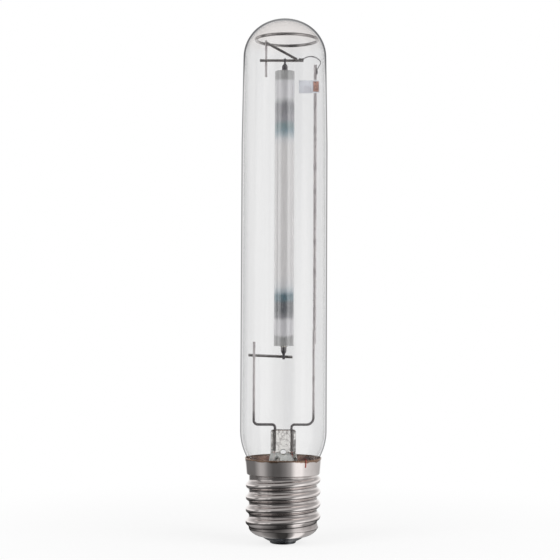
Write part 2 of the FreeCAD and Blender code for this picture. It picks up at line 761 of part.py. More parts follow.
def ring_stay(ring):
    """Upright wire behind the crossbar, bent back to meet the ring."""
    reach_y = math.sqrt(RING_RADIUS ** 2 - (STAY_X - ring_offset()) ** 2)
    corners = [
        Vector(STAY_X, stay_y(), STAY_BOTTOM_Z),
        Vector(STAY_X, stay_y(), RING_Z),
        Vector(STAY_X, reach_y, RING_Z),
    ]
    return bent_wire(corners, STAY_BEND, STAY_DIAMETER).cut(ring)


def diagonal_brace():
    """From the front of the stay down to the front of the crossbar."""
    top_y = stay_y() - beside(STAY_DIAMETER, BRACE_DIAMETER)
    end_y = upper_bar_y() - beside(UPPER_BAR_DIAMETER, BRACE_DIAMETER)
    return rod(
        Vector(STAY_X, top_y, BRACE_TOP_Z),
        Vector(BRACE_END_X, end_y, BRACE_END_Z),
        BRACE_DIAMETER,
    )


def flexible_strap():
    """Thin ribbon bowed from the crossbar over to the outer side of the frame rod."""
    half_sheet = STRAP_THICKNESS / 2
    bar_top_z = UPPER_BAR_Z + UPPER_BAR_DIAMETER / 2 + half_sheet + WELD_GAP
    rod_side_x = FRAME_ROD_X + FRAME_ROD_DIAMETER / 2 + half_sheet + WELD_GAP
    middle_y = (upper_bar_y() + frame_rod_y()) / 2
    far_x = FRAME_ROD_X + STRAP_REACH
    lift = Vector(UPPER_BAR_RIGHT_X, middle_y, bar_top_z)
    start = lift - Vector(STRAP_LAP, 0, 0)
    over = Vector(far_x, middle_y, UPPER_BAR_Z)
    crown = (lift + over) * 0.5 + Vector(STRAP_BOW / 4, 0, STRAP_BOW * 0.7)
    turn = Vector(far_x, middle_y, FRAME_ROD_TOP_Z)
    bulge = (over + turn) * 0.5 + Vector(STRAP_THICKNESS, 0, 0)
    hold = Vector(rod_side_x, middle_y, FRAME_ROD_TOP_Z - STRAP_REACH)
    end = hold - Vector(0, 0, STRAP_LAP)
    edges = [
        Part.makeLine(start, lift),
        Part.Arc(lift, crown, over).toShape(),
        Part.Arc(over, bulge, turn).toShape(),
        Part.makeLine(turn, hold),
        Part.makeLine(hold, end),
    ]
    half_width = Vector(0, STRAP_WIDTH / 2, 0)
    half_height = Vector(0, 0, half_sheet)
    corners = [
        start - half_width - half_height,
        start + half_width - half_height,
        start + half_width + half_height,
        start - half_width + half_height,
    ]
    section = Part.makePolygon(corners + corners[:1])
    return Part.Wire(edges).makePipeShell([section], True, False, 2)


# Getter flag

def flag_face_y():
    """Depth of the flag's front sheet, which lies on the front of the frame rod."""
    return frame_rod_y() - FRAME_ROD_DIAMETER / 2 - WELD_GAP - FLAG_SHEET


def getter_holder():
    """Folded sheet: a flat flag, a raised fold, and a part hooked round the rod's side."""
    face_y = flag_face_y()
    back_y = face_y + FLAG_FOLD_DEPTH
    crease_x = FLAG_FOLD_X + FLAG_FOLD_DEPTH
    hook_y = frame_rod_y() + FRAME_ROD_DIAMETER / 2
    outline = [
        (FLAG_LEFT_X, back_y),
        (FLAG_FOLD_X, back_y),
        (crease_x, face_y),
        (FLAG_RIGHT_X, face_y),
        (FLAG_RIGHT_X, hook_y),
        (FLAG_RIGHT_X - FLAG_SHEET, hook_y),
        (FLAG_RIGHT_X - FLAG_SHEET, face_y + FLAG_SHEET),
        (crease_x + FLAG_SHEET / 2, face_y + FLAG_SHEET),
        (FLAG_FOLD_X + FLAG_SHEET / 2, back_y + FLAG_SHEET),
        (FLAG_LEFT_X, back_y + FLAG_SHEET),
    ]
    corners = [Vector(x, y, FLAG_TOP_Z - FLAG_HEIGHT) for x, y in outline]
    sheet = Part.Face(Part.makePolygon(corners + corners[:1]))
    return sheet.extrude(Vector(0, 0, FLAG_HEIGHT))


def getter_strip():
    """Bar of getter pressed on the front of its holder."""
    height = FLAG_HEIGHT - 2 * GETTER_MARGIN
    left_x = FLAG_RIGHT_X - GETTER_MARGIN / 2 - GETTER_WIDTH
    front_y = flag_face_y() - GETTER_THICKNESS
    corner = Vector(left_x, front_y, FLAG_TOP_Z - FLAG_HEIGHT + GETTER_MARGIN)
    bar = Part.makeBox(GETTER_WIDTH, GETTER_THICKNESS, height, corner)
    front_edges = [edge for edge in bar.Edges if edge.BoundBox.YMax < front_y + 0.01]
    return bar.makeFillet(GETTER_THICKNESS * 0.4, front_edges)


# Arc tube

def arc_tube():
    length = ARC_TOP_Z - ARC_BOTTOM_Z
    base = Vector(0, 0, ARC_BOTTOM_Z)
    wall = Part.makeCylinder(ARC_RADIUS, length, base)
    return wall.cut(Part.makeCylinder(ARC_RADIUS - ARC_WALL, length, base))


def lower_end_plug():
    base = Vector(0, 0, ARC_BOTTOM_Z)
    plug = Part.makeCylinder(ARC_RADIUS - ARC_WALL, PLUG_LENGTH, base)
    return plug.cut(Part.makeCylinder(FEED_RADIUS, PLUG_LENGTH, base))


def lower_seal():
    """Ring of frit run round the feedthrough where it leaves the plug."""
    return turned(
        (FEED_RADIUS, ARC_BOTTOM_Z),
        (FRIT_RADIUS, ARC_BOTTOM_Z),
        (
            ((FEED_RADIUS + FRIT_RADIUS) / 2 - 0.2, ARC_BOTTOM_Z - FRIT_HEIGHT * 0.4),
            (FEED_RADIUS, ARC_BOTTOM_Z - FRIT_HEIGHT),
        ),
    )


def feedthrough(tail_diameter, tail_end_z):
    """Metal tube through the lower plug, drawn down to a tail, with the electrode's socket."""
    top_z = ARC_BOTTOM_Z + PLUG_LENGTH + FEED_INSIDE
    neck_z = ARC_BOTTOM_Z - FEED_OUTSIDE
    socket_radius = ELECTRODE_DIAMETER / 2
    return turned(
        (0, tail_end_z),
        (tail_diameter / 2, tail_end_z),
        (tail_diameter / 2, neck_z - FEED_TAPER),
        (FEED_RADIUS, neck_z),
        (FEED_RADIUS, top_z),
        (socket_radius, top_z),
        (socket_radius, top_z - FEED_SOCKET),
        (0, top_z - FEED_SOCKET),
    )


def lower_electrode_rod():
    """Tungsten rod from its socket in the feedthrough to a domed tip."""
    base_z = ARC_BOTTOM_Z + PLUG_LENGTH + FEED_INSIDE - FEED_SOCKET
    tip_z = ARC_BOTTOM_Z + ELECTRODE_REACH
    radius = ELECTRODE_DIAMETER / 2
    return turned(
        (0, base_z),
        (radius, base_z),
        (radius, tip_z - radius),
        ((radius * DIAGONAL, tip_z - radius + radius * DIAGONAL), (0, tip_z)),
    )


def lower_electrode_coil():
    """Tungsten coil wound round the rod, just behind its tip."""
    wire_radius = COIL_WIRE_DIAMETER / 2
    pitch = COIL_WIRE_DIAMETER + COIL_GAP
    mean_radius = ELECTRODE_DIAMETER / 2 + wire_radius + WELD_GAP
    tip_z = ARC_BOTTOM_Z + ELECTRODE_REACH
    bottom_z = tip_z - COIL_TIP_SETBACK - wire_radius - pitch * COIL_TURN_COUNT
    return coiled_bar(mean_radius, wire_radius, bottom_z, pitch)


def amalgam_dose():
    """Bead of amalgam that lies on the lower plug beside the electrode."""
    near_wall_y = -(ARC_RADIUS - ARC_WALL - AMALGAM_RADIUS - AMALGAM_GAP)
    rest_z = ARC_BOTTOM_Z + PLUG_LENGTH + AMALGAM_RADIUS
    return Part.makeSphere(AMALGAM_RADIUS, Vector(0, near_wall_y, rest_z))


def lamp():
    """Every separate piece by its name."""
    middle_z = (ARC_BOTTOM_Z + ARC_TOP_Z) / 2
    upper_tail_end_z = ARC_BOTTOM_Z + ARC_TOP_Z - UPPER_TAIL_TOP_Z
    inside = cap_inside()
    side_wire = side_lead_wire()
    centre_wire = centre_lead_wire()
    left_rod = left_lead_rod()
    right_rod = right_lead_rod()
    ring = dome_ring()
    return {
        "outer_bulb": outer_bulb(),
        "glass_stem": glass_stem([left_rod, right_rod, side_wire, centre_wire]),
        "exhaust_tube": exhaust_tube(),
        "left_lead_rod": left_rod,
        "right_lead_rod": right_rod,
        "frame_rod": frame_rod(),
        "lower_crossbar": lower_crossbar(),
        "upper_crossbar": upper_crossbar(),
        "dome_ring": ring,
        "ring_stay": ring_stay(ring),
        "diagonal_brace": diagonal_brace(),
        "flexible_strap": flexible_strap(),
        "getter_holder": getter_holder(),
        "getter_strip": getter_strip(),
        "arc_tube": arc_tube(),
        "lower_end_plug": lower_end_plug(),
        "upper_end_plug": upside_down(lower_end_plug(), middle_z),
        "lower_seal": lower_seal(),
        "upper_seal": upside_down(lower_seal(), middle_z),
        "lower_feedthrough": feedthrough(LOWER_TAIL_DIAMETER, LOWER_TAIL_BOTTOM_Z),
        "upper_feedthrough": upside_down(
            feedthrough(UPPER_TAIL_DIAMETER, upper_tail_end_z), middle_z
        ),
        "lower_electrode_rod": lower_electrode_rod(),
        "upper_electrode_rod": upside_down(lower_electrode_rod(), middle_z),
        "lower_electrode_coil": lower_electrode_coil(),
        "upper_electrode_coil": upside_down(lower_electrode_coil(), middle_z),
        "amalgam_dose": amalgam_dose(),
        "cap_shell": cap_shell(inside),
        "cap_cement": cap_cement(side_wire),
        "cap_insulator": cap_insulator(inside),
        "centre_contact": centre_contact(),
        "contact_solder": solder_form().cut(centre_wire),
        "centre_lead_wire": centre_wire,
        "side_lead_wire": side_wire,
    }


os.makedirs("parts", exist_ok=True)
for name, shape in lamp().items():
    shape.exportStep("parts/" + name + ".step")
    print(name, shape.isValid(), len(shape.Solids), round(shape.Volume, 2))
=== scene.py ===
# %% [markdown]
# # A clear tubular discharge lamp
# The lamp is a long glass bulb on a screw cap. Inside it a slim ceramic arc tube hangs
# in a welded wire frame. The solids come from the imported model and keep their places.
# What a solid can't show is made here: an even glass wall, a rolled round thread,
# ceramic with coloured rings, and metals that have been handled.

import json
import math

import bmesh
import bpy
from mathutils import Matrix, Vector


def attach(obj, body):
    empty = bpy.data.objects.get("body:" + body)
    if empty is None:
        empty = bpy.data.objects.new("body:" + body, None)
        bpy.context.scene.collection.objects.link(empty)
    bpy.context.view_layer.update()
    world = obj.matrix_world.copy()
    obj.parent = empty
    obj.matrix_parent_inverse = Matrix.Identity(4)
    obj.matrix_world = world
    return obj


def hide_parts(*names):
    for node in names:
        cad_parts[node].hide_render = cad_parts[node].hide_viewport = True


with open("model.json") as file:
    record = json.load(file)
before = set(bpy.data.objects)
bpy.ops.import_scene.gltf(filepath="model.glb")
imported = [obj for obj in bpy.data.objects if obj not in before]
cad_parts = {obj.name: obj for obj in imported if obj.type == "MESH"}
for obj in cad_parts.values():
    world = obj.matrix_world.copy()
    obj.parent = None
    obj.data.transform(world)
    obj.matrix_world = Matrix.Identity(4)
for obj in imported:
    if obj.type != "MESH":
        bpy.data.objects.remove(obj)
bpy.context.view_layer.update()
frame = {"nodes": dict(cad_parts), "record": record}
MM = 0.001

# %% [markdown]
# ## Lines that become walls
# A blown bulb and a rolled cap are both turned shapes: one line, carried once round the
# axis. The line itself is drawn with two moves. A straight run pulls a corner to a new
# place, and a bend carries a corner round a centre, which is what spin does to one point.

# %% Helpers that draw a line
def start_line(radius, height):
    """A new working mesh, and the first corner of its line."""
    mesh = bmesh.new()
    return mesh, mesh.verts.new((radius * MM, 0, height * MM))


def run_to(mesh, corner, radius, height, pieces=1):
    """Pull a corner straight to (radius, height), in a number of equal pieces."""
    target = Vector((radius * MM, 0, height * MM))
    step = (target - corner.co) / pieces
    for _ in range(pieces):
        made = bmesh.ops.extrude_vert_indiv(mesh, verts=[corner])
        corner = made["verts"][0]
        corner.co += step
    return corner


def bend_to(mesh, corner, centre_radius, centre_height, degrees, pieces):
    """Carry a corner round a centre. Positive degrees turn from the radius towards the height."""
    centre = Vector((centre_radius * MM, 0, centre_height * MM))
    made = bmesh.ops.spin(
        mesh, geom=[corner], cent=centre, axis=(0, -1, 0), angle=math.radians(degrees),
        steps=pieces, use_merge=False, use_duplicate=False,
    )
    return [item for item in made["geom_last"] if isinstance(item, bmesh.types.BMVert)][0]


# %% [markdown]
# ## From a line to a piece
# A turned line is only a working mesh. It becomes a piece when it has a name, rides with
# the lamp, and stands for the solid that it replaces. Blown glass and rolled sheet get
# their thickness last, as a wall laid inwards, because the outside is what was measured.

# %% Helpers that turn a line and name the piece
WELD = 0.002


def turn_round(mesh, steps):
    """Carry the whole line once round the lamp's axis and close its seam and pole."""
    bmesh.ops.spin(
        mesh, geom=mesh.verts[:] + mesh.edges[:], cent=(0, 0, 0), axis=(0, 0, 1),
        angle=2 * math.pi, steps=steps, use_merge=True, use_duplicate=False,
    )
    bmesh.ops.remove_doubles(mesh, verts=mesh.verts, dist=WELD * MM)
    bmesh.ops.recalc_face_normals(mesh, faces=mesh.faces)


def make_piece(name, mesh, replaced):
    """Turn the working mesh into a piece that stands for a solid and rides with it."""
    data = bpy.data.meshes.new(name)
    for face in mesh.faces:
        face.smooth = True
    mesh.to_mesh(data)
    mesh.free()
    piece = bpy.data.objects.new(name, data)
    bpy.context.scene.collection.objects.link(piece)
    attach(piece, "root")
    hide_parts(replaced)
    print(name, "faces", len(data.polygons))
    return piece


def give_wall(piece, thickness):
    """Sheet of one thickness, laid inwards, whose inside takes the second finish, if any."""
    wall = piece.modifiers.new("wall", "SOLIDIFY")
    wall.thickness = thickness * MM
    wall.offset = -1
    wall.use_even_offset = True
    wall.material_offset = 1


# %% [markdown]
# ## The glass bulb
# The real bulb is a drawn tube, closed to a dome at one end and drawn in to a neck at the
# other. A facet would show as a stripe in its reflections, so it is turned in many steps.
# The dome is two arcs that run into each other, a tight one at the side and a wide crown.

# %% Turn the bulb
BULB_STEPS = 144
GLASS_WALL = 1.2
BULB_RADIUS = 22.75
NECK_RADIUS = 16.0
NECK_BLEND = 8.0
SHOULDER_BLEND = 29.80
SHOULDER_HEIGHT = 59.0
NECK_END = 22.0
TAPER_START = 210.0
DOME_FOOT = 236.0
DOME_RADIUS = 21.95
DOME_SIDE_BLEND = 20.0
DOME_SIDE_DEGREES = 60
LAMP_TOP = 276.6

shoulder_centre = BULB_RADIUS - SHOULDER_BLEND
neck_centre = NECK_RADIUS + NECK_BLEND
reach = SHOULDER_BLEND + NECK_BLEND
across = neck_centre - shoulder_centre
drop = math.sqrt(reach ** 2 - across ** 2)
lean = math.degrees(math.atan2(drop, across))
dome_offset = DOME_RADIUS - DOME_SIDE_BLEND
dome_bend = math.radians(DOME_SIDE_DEGREES)
crown_height = LAMP_TOP - DOME_SIDE_BLEND - dome_offset / math.cos(dome_bend)
dome_start = crown_height + dome_offset * math.tan(dome_bend)

bulb_line, corner = start_line(NECK_RADIUS, NECK_END)
corner = run_to(bulb_line, corner, NECK_RADIUS, SHOULDER_HEIGHT - drop, 6)
corner = bend_to(bulb_line, corner, neck_centre, SHOULDER_HEIGHT - drop, -lean, 10)
corner = bend_to(bulb_line, corner, shoulder_centre, SHOULDER_HEIGHT, lean, 14)
corner = run_to(bulb_line, corner, BULB_RADIUS, TAPER_START, 24)
corner = run_to(bulb_line, corner, DOME_RADIUS, dome_start, 12)
corner = bend_to(bulb_line, corner, dome_offset, dome_start, DOME_SIDE_DEGREES, 18)
corner = bend_to(bulb_line, corner, 0, crown_height, 90 - DOME_SIDE_DEGREES, 12)
turn_round(bulb_line, BULB_STEPS)
bulb = make_piece("glass_bulb", bulb_line, "outer_bulb")
give_wall(bulb, GLASS_WALL)

# %% [markdown]
# ## The screw cap
# The cap is one thin sheet. It starts as a drawn cup with a bowl below, a plain barrel
# and a wider skirt above, and that cup is a turned shape too. The barrel gets many close
# rings, because they have to carry the thread.

# %% Turn the plain cap, with rings close together where the thread will come
CAP_STEPS = 180
SHEET = 0.35
ROOT_RADIUS = 17.95
CREST_RADIUS = 19.75
CAP_FLOOR = 3.9
CAP_CORNER = 7.6
SKIRT_BOTTOM = 36.0
RIM = 44.8
RIM_RADIUS = 20.1
MOUTH_RADIUS = 11.65
BOWL_RISES = ((12.0, 0), (13.6, 0.22), (15.05, 0.87), (16.3, 1.7), (17.25, 2.6))
SKIRT_STEP = 18.55
SKIRT_CORNER = 0.8

cap_line, corner = start_line(MOUTH_RADIUS, CAP_FLOOR)
for radius, rise in BOWL_RISES:
    corner = run_to(cap_line, corner, radius, CAP_FLOOR + rise)
corner = run_to(cap_line, corner, ROOT_RADIUS, CAP_CORNER)
corner = run_to(cap_line, corner, ROOT_RADIUS, SKIRT_BOTTOM, 90)
corner = run_to(cap_line, corner, SKIRT_STEP, SKIRT_BOTTOM)
corner = bend_to(cap_line, corner, SKIRT_STEP, SKIRT_BOTTOM + SKIRT_CORNER, 90, 5)
corner = run_to(cap_line, corner, RIM_RADIUS, RIM, 12)
turn_round(cap_line, CAP_STEPS)
print("plain cap points", len(cap_line.verts))

# %% [markdown]
# ## The rolled thread
# On the real cap two grooved rollers press the thread in, so it is a round wave with no
# edge anywhere, and it dies away at both ends. Pushing each point out by where it stands
# along the winding does the same, and keeps the skirt and the bowl as they were turned.

# %% Roll the thread into the barrel
PITCH = 6.35
DATUM = 27.0
FIRST_TURN = -3.15
LAST_TURN = 1.4
FADE_TURNS = 0.4
ARC = (((PITCH / 4) ** 2 + ((CREST_RADIUS - ROOT_RADIUS) / 2) ** 2)
       / (CREST_RADIUS - ROOT_RADIUS))


def ease(share):
    """Go from 0 to 1 without a corner at either end."""
    share = min(max(share, 0.0), 1.0)
    return share * share * (3 - 2 * share)


def wave(height):
    """How far the thread stands out, at a height from its crest: two arcs that meet."""
    depth = CREST_RADIUS - ROOT_RADIUS
    away = abs(height)
    if away < PITCH / 4:
        return depth - (ARC - math.sqrt(ARC ** 2 - away ** 2))
    return ARC - math.sqrt(ARC ** 2 - (PITCH / 2 - away) ** 2)


for point in cap_line.verts:
    height = point.co.z / MM
    if not CAP_CORNER + 0.01 < height < SKIRT_BOTTOM - 0.01:
        continue
    turn = math.atan2(point.co.y, point.co.x) / (2 * math.pi)
    turn += round((height - DATUM) / PITCH - turn)
    fade = ease(min(turn - FIRST_TURN, LAST_TURN - turn) / FADE_TURNS)
    stand = wave(height - DATUM - PITCH * turn) * fade
    stand = min(stand, height - CAP_CORNER)
    scale = (ROOT_RADIUS + stand) / ROOT_RADIUS
    point.co.x *= scale
    point.co.y *= scale
bmesh.ops.recalc_face_normals(cap_line, faces=cap_line.faces)
cap = make_piece("rolled_cap", cap_line, "cap_shell")
give_wall(cap, SHEET)

# %% [markdown]
# ## A small language for finishes
# Every finish is a chain of nodes. A class wraps one output socket, so that a mask is
# written as a sum of sockets and plain numbers, and each sum adds its own node.

# %% Sockets that can be added and multiplied
class Wire:
    """One output socket, used in sums as if it were a number."""

    def __init__(self, chain, socket):
        self.chain = chain
        self.socket = socket

    def sum_with(self, operation, first, second):
        """A node that works out one sum, of sockets or numbers."""
        return self.chain.add("ShaderNodeMath", {"operation": operation}, {0: first, 1: second})

    def __add__(self, other):
        return self.sum_with("ADD", self, other)

    def __radd__(self, other):
        return self.sum_with("ADD", other, self)

    def __sub__(self, other):
        return self.sum_with("SUBTRACT", self, other)

    def __rsub__(self, other):
        return self.sum_with("SUBTRACT", other, self)

    def __mul__(self, other):
        return self.sum_with("MULTIPLY", self, other)

    def __rmul__(self, other):
        return self.sum_with("MULTIPLY", other, self)

    def __truediv__(self, other):
        return self.sum_with("DIVIDE", self, other)


# %% [markdown]
# ## One method for every node
# The chain's add method makes any node: its settings first, then its sockets, given as
# values or as wires. The other methods name the few patterns that every finish uses, such
# as a mask that eases in, a blend of two colours, and the place of a point on its piece.

# %% The chain of nodes
class Chain:
    """The nodes of one finish, or of the world."""

    def __init__(self, tree):
        self.tree = tree
        tree.nodes.clear()

    def add(self, kind, settings=None, sockets=None, output=0):
        """Any node. It gives back the wire of one output, or the node if it has none."""
        node = self.tree.nodes.new(kind)
        for key, value in (settings or {}).items():
            if key == "stops":
                self.set_stops(node.color_ramp, value)
            else:
                setattr(node, key, value)
        for key, value in (sockets or {}).items():
            if isinstance(value, Wire):
                self.tree.links.new(value.socket, node.inputs[key])
            else:
                node.inputs[key].default_value = value
        return Wire(self, node.outputs[output]) if len(node.outputs) else node

    def set_stops(self, ramp, stops):
        """Give a colour ramp its stops: places from 0 to 1, and their colours."""
        while len(ramp.elements) < len(stops):
            ramp.elements.new(1.0)
        for element, (place, colour) in zip(ramp.elements, stops):
            element.position = place
            element.color = colour + (1,)

    def noise(self, place, scale, detail=3.0):
        """A cloudy pattern of values, most of them near one half."""
        return self.add("ShaderNodeTexNoise", None,
                        {"Vector": place, "Scale": scale, "Detail": detail})

    def between(self, value, low, high):
        """A mask that eases from 0 at low to 1 at high."""
        return self.add("ShaderNodeMapRange", {"interpolation_type": "SMOOTHSTEP"},
                        {"Value": value, "From Min": low, "From Max": high})

    def blend(self, mask, first, second):
        """One colour where the mask is 0, another where it is 1."""
        return self.add("ShaderNodeMix", {"data_type": "RGBA"},
                        {"Factor": mask, 6: first, 7: second}, output=2)

    def place(self, stretch=(1, 1, 1)):
        """Where a point lies on the piece, with the pattern stretched."""
        return self.add("ShaderNodeMapping", None, {
            "Vector": self.add("ShaderNodeTexCoord", output=3),
            "Scale": stretch,
        })

    def height(self):
        """How high a point lies on the lamp, in metres."""
        return self.add("ShaderNodeSeparateXYZ", None,
                        {0: self.add("ShaderNodeTexCoord", output=3)}, output=2)

    def relief(self, value, strength, distance):
        """A normal that tilts as if the pattern stood out from the surface."""
        return self.add("ShaderNodeBump", None,
                        {"Height": value, "Strength": strength, "Distance": distance})


# %% [markdown]
# ## What every finish starts and ends with
# A finish is a new material with an empty chain, and ends in one output. Glass, floor and
# backdrop also ask what kind of ray has met them, because soft light should pass a bulb.

# %% Helpers that start and close a finish
def ray_kinds(chain, *names):
    """Wires that are 1 for rays of the named kinds."""
    outputs = chain.add("ShaderNodeLightPath").socket.node.outputs
    return [Wire(chain, outputs[name]) for name in names]


def new_finish(name):
    """A new material, and the chain for its nodes."""
    material = bpy.data.materials.new(name)
    material.use_nodes = True
    return material, Chain(material.node_tree)


def surface(chain, sockets):
    """The surface shader, and the output that it goes to."""
    shader = chain.add("ShaderNodeBsdfPrincipled", None, sockets)
    chain.add("ShaderNodeOutputMaterial", None, {"Surface": shader})


# %% [markdown]
# ## Clear glass
# The bulb's wall is little more than a millimetre thick, so the eye looks straight
# through it: what it sees directly is a thin pane, with a faint tint and a mirror image
# that grows with the slope. Every other ray meets glass that bends light, and shadows
# and soft light go straight through.

# %% Clean glass
GLASS_IOR = 1.47
CLEAR = (0.935, 0.935, 0.935, 1)


def clear_glass(chain, colour, normal):
    """The plain shader of clean glass."""
    return chain.add("ShaderNodeBsdfPrincipled", None, {
        "Base Color": colour, "Roughness": 0.0, "IOR": GLASS_IOR,
        "Transmission Weight": 1.0, "Normal": normal,
    })


def let_light_in(chain, glass, colour):
    """Shadows and soft light pass the glass, and everything else meets its shader."""
    shadow_ray, diffuse_ray = ray_kinds(chain, "Is Shadow Ray", "Is Diffuse Ray")
    through = chain.add("ShaderNodeBsdfTransparent", None, {"Color": colour})
    lit = chain.add("ShaderNodeMixShader", None,
                    {0: shadow_ray + diffuse_ray, 1: glass, 2: through})
    chain.add("ShaderNodeOutputMaterial", None, {"Surface": lit})


# %% [markdown]
# ## The pane and its outline
# The pane mixes a tint with a mirror image. At the outline the eye looks along the wall,
# and there the glass is a thin dark line, darkest round the side of the dome and weaker at
# its top. Drawn tube is never quite even, so long faint streaks run along it. Tints are
# mixed as shaders, since a mask then only feeds a mix.

# %% A thin pane and its dark outline
PANE_TINT = (0.974, 0.974, 0.974, 1)
STREAK_TINT = (0.938, 0.938, 0.940, 1)
CROWN_TINT = (0.960, 0.950, 0.946, 1)
WALL_EDGE = (0.74, 0.74, 0.745, 1)
OUTLINE = (0.10, 0.10, 0.105, 1)
UNTINTED = (1, 1, 1, 1)
CROWN_FOOT = 260.0
CROWN_EASE = 6.0
MIRROR_HEAD_ON = 0.04
MIRROR_ON_EDGE = 0.45
MIRROR_GROWTH = 5.0
STREAK_STRETCH = (1, 1, 0.02)
STREAK_SCALE = 95.0
LINE_AT_SIDE = 0.74
LINE_AT_DOME = 0.16
TOP_FOOT = LAMP_TOP - 7
TOP_FULL = LAMP_TOP - 1


def tinted(chain, mask, first, second):
    """Glass that bends nothing: one tint where the mask is 0, another where it is 1."""
    panes = [chain.add("ShaderNodeBsdfTransparent", None, {"Color": tint})
             if isinstance(tint, tuple) else tint for tint in (first, second)]
    return chain.add("ShaderNodeMixShader", None, {0: mask, 1: panes[0], 2: panes[1]})


def pane_shader(chain, facing, normal):
    """A thin pane: tinted, a little warmer at the crown, with its mirror image."""
    steep = chain.add("ShaderNodeMath", {"operation": "POWER"}, {0: facing, 1: MIRROR_GROWTH})
    crown = chain.between(chain.height(), CROWN_FOOT * MM, (CROWN_FOOT + CROWN_EASE) * MM)
    streaks = chain.noise(chain.place(STREAK_STRETCH), STREAK_SCALE, 2.0)
    streaks = chain.between(streaks, 0.44, 0.62)
    drawn = tinted(chain, streaks, PANE_TINT, STREAK_TINT)
    thin = tinted(chain, crown, drawn, CROWN_TINT)
    shine = chain.add("ShaderNodeBsdfGlossy", None, {"Roughness": 0.0, "Normal": normal})
    return chain.add("ShaderNodeMixShader", None, {
        0: MIRROR_HEAD_ON + MIRROR_ON_EDGE * steep, 1: thin, 2: shine,
    })


def outline_shader(chain, facing):
    """The dark line of the outline, for light that goes in. Light that leaves isn't tinted."""
    side = chain.between(chain.height(), DOME_FOOT * MM, CROWN_FOOT * MM)
    top = chain.between(chain.height(), TOP_FOOT * MM, TOP_FULL * MM)
    line = chain.between(facing, 0.70 - 0.05 * side, 0.86 - 0.11 * side)
    line = line * (LINE_AT_SIDE + LINE_AT_DOME * side - LINE_AT_DOME * top)
    leaving = chain.add("ShaderNodeNewGeometry", output=6)
    return tinted(chain, leaving, tinted(chain, line, WALL_EDGE, OUTLINE), UNTINTED)


# %% [markdown]
# ## The bulb's two glass finishes
# The outside of the wall carries the outline, and the inside is the same glass without it,
# because two lines side by side would make the wall look thick. Slow waves in the surface
# pull the reflections about.

# %% Mix the bulb's glass
BAND = (0.645, 0.68)
WAVE_STRETCH = (1, 1, 0.06)
WAVE_SCALE = 60.0
WAVE_DEPTH = 0.0004


def bulb_finish(name, outlined):
    """Drawn glass: a pane for the camera, bending glass for the rest, and an outline or none."""
    material, chain = new_finish(name)
    waves = chain.noise(chain.place(WAVE_STRETCH), WAVE_SCALE, 2.0)
    normal = chain.relief(waves, 0.05, WAVE_DEPTH)
    facing = chain.add("ShaderNodeLayerWeight", None, {"Blend": 0.5}, output=1)
    camera_ray, = ray_kinds(chain, "Is Camera Ray")
    glass = chain.add("ShaderNodeMixShader", None, {
        0: camera_ray, 1: clear_glass(chain, CLEAR, normal), 2: pane_shader(chain, facing, normal),
    })
    if outlined:
        band = chain.between(facing, *BAND)
        glass = chain.add("ShaderNodeMixShader", None,
                          {0: band, 1: glass, 2: outline_shader(chain, facing)})
    let_light_in(chain, glass, CLEAR)
    return material


bulb_glass = bulb_finish("clear_bulb_glass", True)
inner_glass = bulb_finish("inner_bulb_glass", False)
print("bulb glass", bulb_glass.name, inner_glass.name)

# %% [markdown]
# ## The pressed stem
# The stem is pinched flat while it is soft, and keeps the creases of the jaws. It is
# solid glass, so it bends light for every ray. A folded noise paints shade along the
# creases as dark veins, and the flare at its foot has turned milky where it was fused.

# %% Mix the stem's glass
STEM_TINT = (0.93, 0.91, 0.88, 1)
CREASE_AND_EDGE_SHADE = (0.38, 0.36, 0.36, 1)
MILK = (0.62, 0.64, 0.63, 1)
CREASE_SCALE = 230.0
CREASE_DEPTH = 0.0005
VEIN_WIDTH = 0.045
FLARE_MILKY = 45.5
FLARE_CLEAR = 50.0

stem_glass, chain = new_finish("pressed_stem_glass")
creases = chain.noise(chain.place((1, 1, 0.7)), CREASE_SCALE, 2.0)
normal = chain.relief(creases, 0.9, CREASE_DEPTH)
clear = clear_glass(chain, STEM_TINT, normal)
dark = chain.add("ShaderNodeBsdfRefraction", None, {
    "Color": CREASE_AND_EDGE_SHADE, "Roughness": 0.0, "IOR": GLASS_IOR, "Normal": normal,
})
facing = chain.add("ShaderNodeLayerWeight", None, {"Blend": 0.5}, output=1)
fold = chain.add("ShaderNodeMath", {"operation": "ABSOLUTE"}, {0: creases - 0.5})
vein = 1 - chain.between(fold, 0.0, VEIN_WIDTH)
# Painted shade: the dark tint lies along the creases and grows towards the stem's outline, where
# the glass is seen edge-on.
share = chain.between(facing, 0.60, 0.95) + 0.5 * vein
pressed = chain.add("ShaderNodeMixShader", None, {0: share, 1: clear, 2: dark})
milk = chain.add("ShaderNodeBsdfDiffuse", None, {"Color": MILK})
cloudy = chain.between(chain.noise(chain.place((1, 1, 0.3)), 260.0, 3.0), 0.40, 0.60)
flare = 1 - chain.between(chain.height(), FLARE_MILKY * MM, FLARE_CLEAR * MM)
pressed = chain.add("ShaderNodeMixShader", None, {0: 0.6 * (flare * cloudy), 1: pressed, 2: milk})
let_light_in(chain, pressed, STEM_TINT)
print("stem glass", stem_glass.name)

# %% [markdown]
# ## The ceramic arc tube
# The tube is sintered alumina, white and translucent. It is coloured in rings near both
# electrodes: slate, teal and lilac, deeper at the lower one, and its plugs show grey
# through the ends. The rings are given by their distance from each end, as one would
# measure them.

# %% List the stains
ARC_BOTTOM = 103.4
ARC_TOP = 248.7
ARC_LENGTH = ARC_TOP - ARC_BOTTOM


def ring_stops(from_below, from_above):
    """Stops of a ramp from rings given by their distance from each end in millimetres."""
    stops = [(reach / ARC_LENGTH, colour) for reach, colour in from_below]
    return stops + [(1 - reach / ARC_LENGTH, colour) for reach, colour in reversed(from_above)]


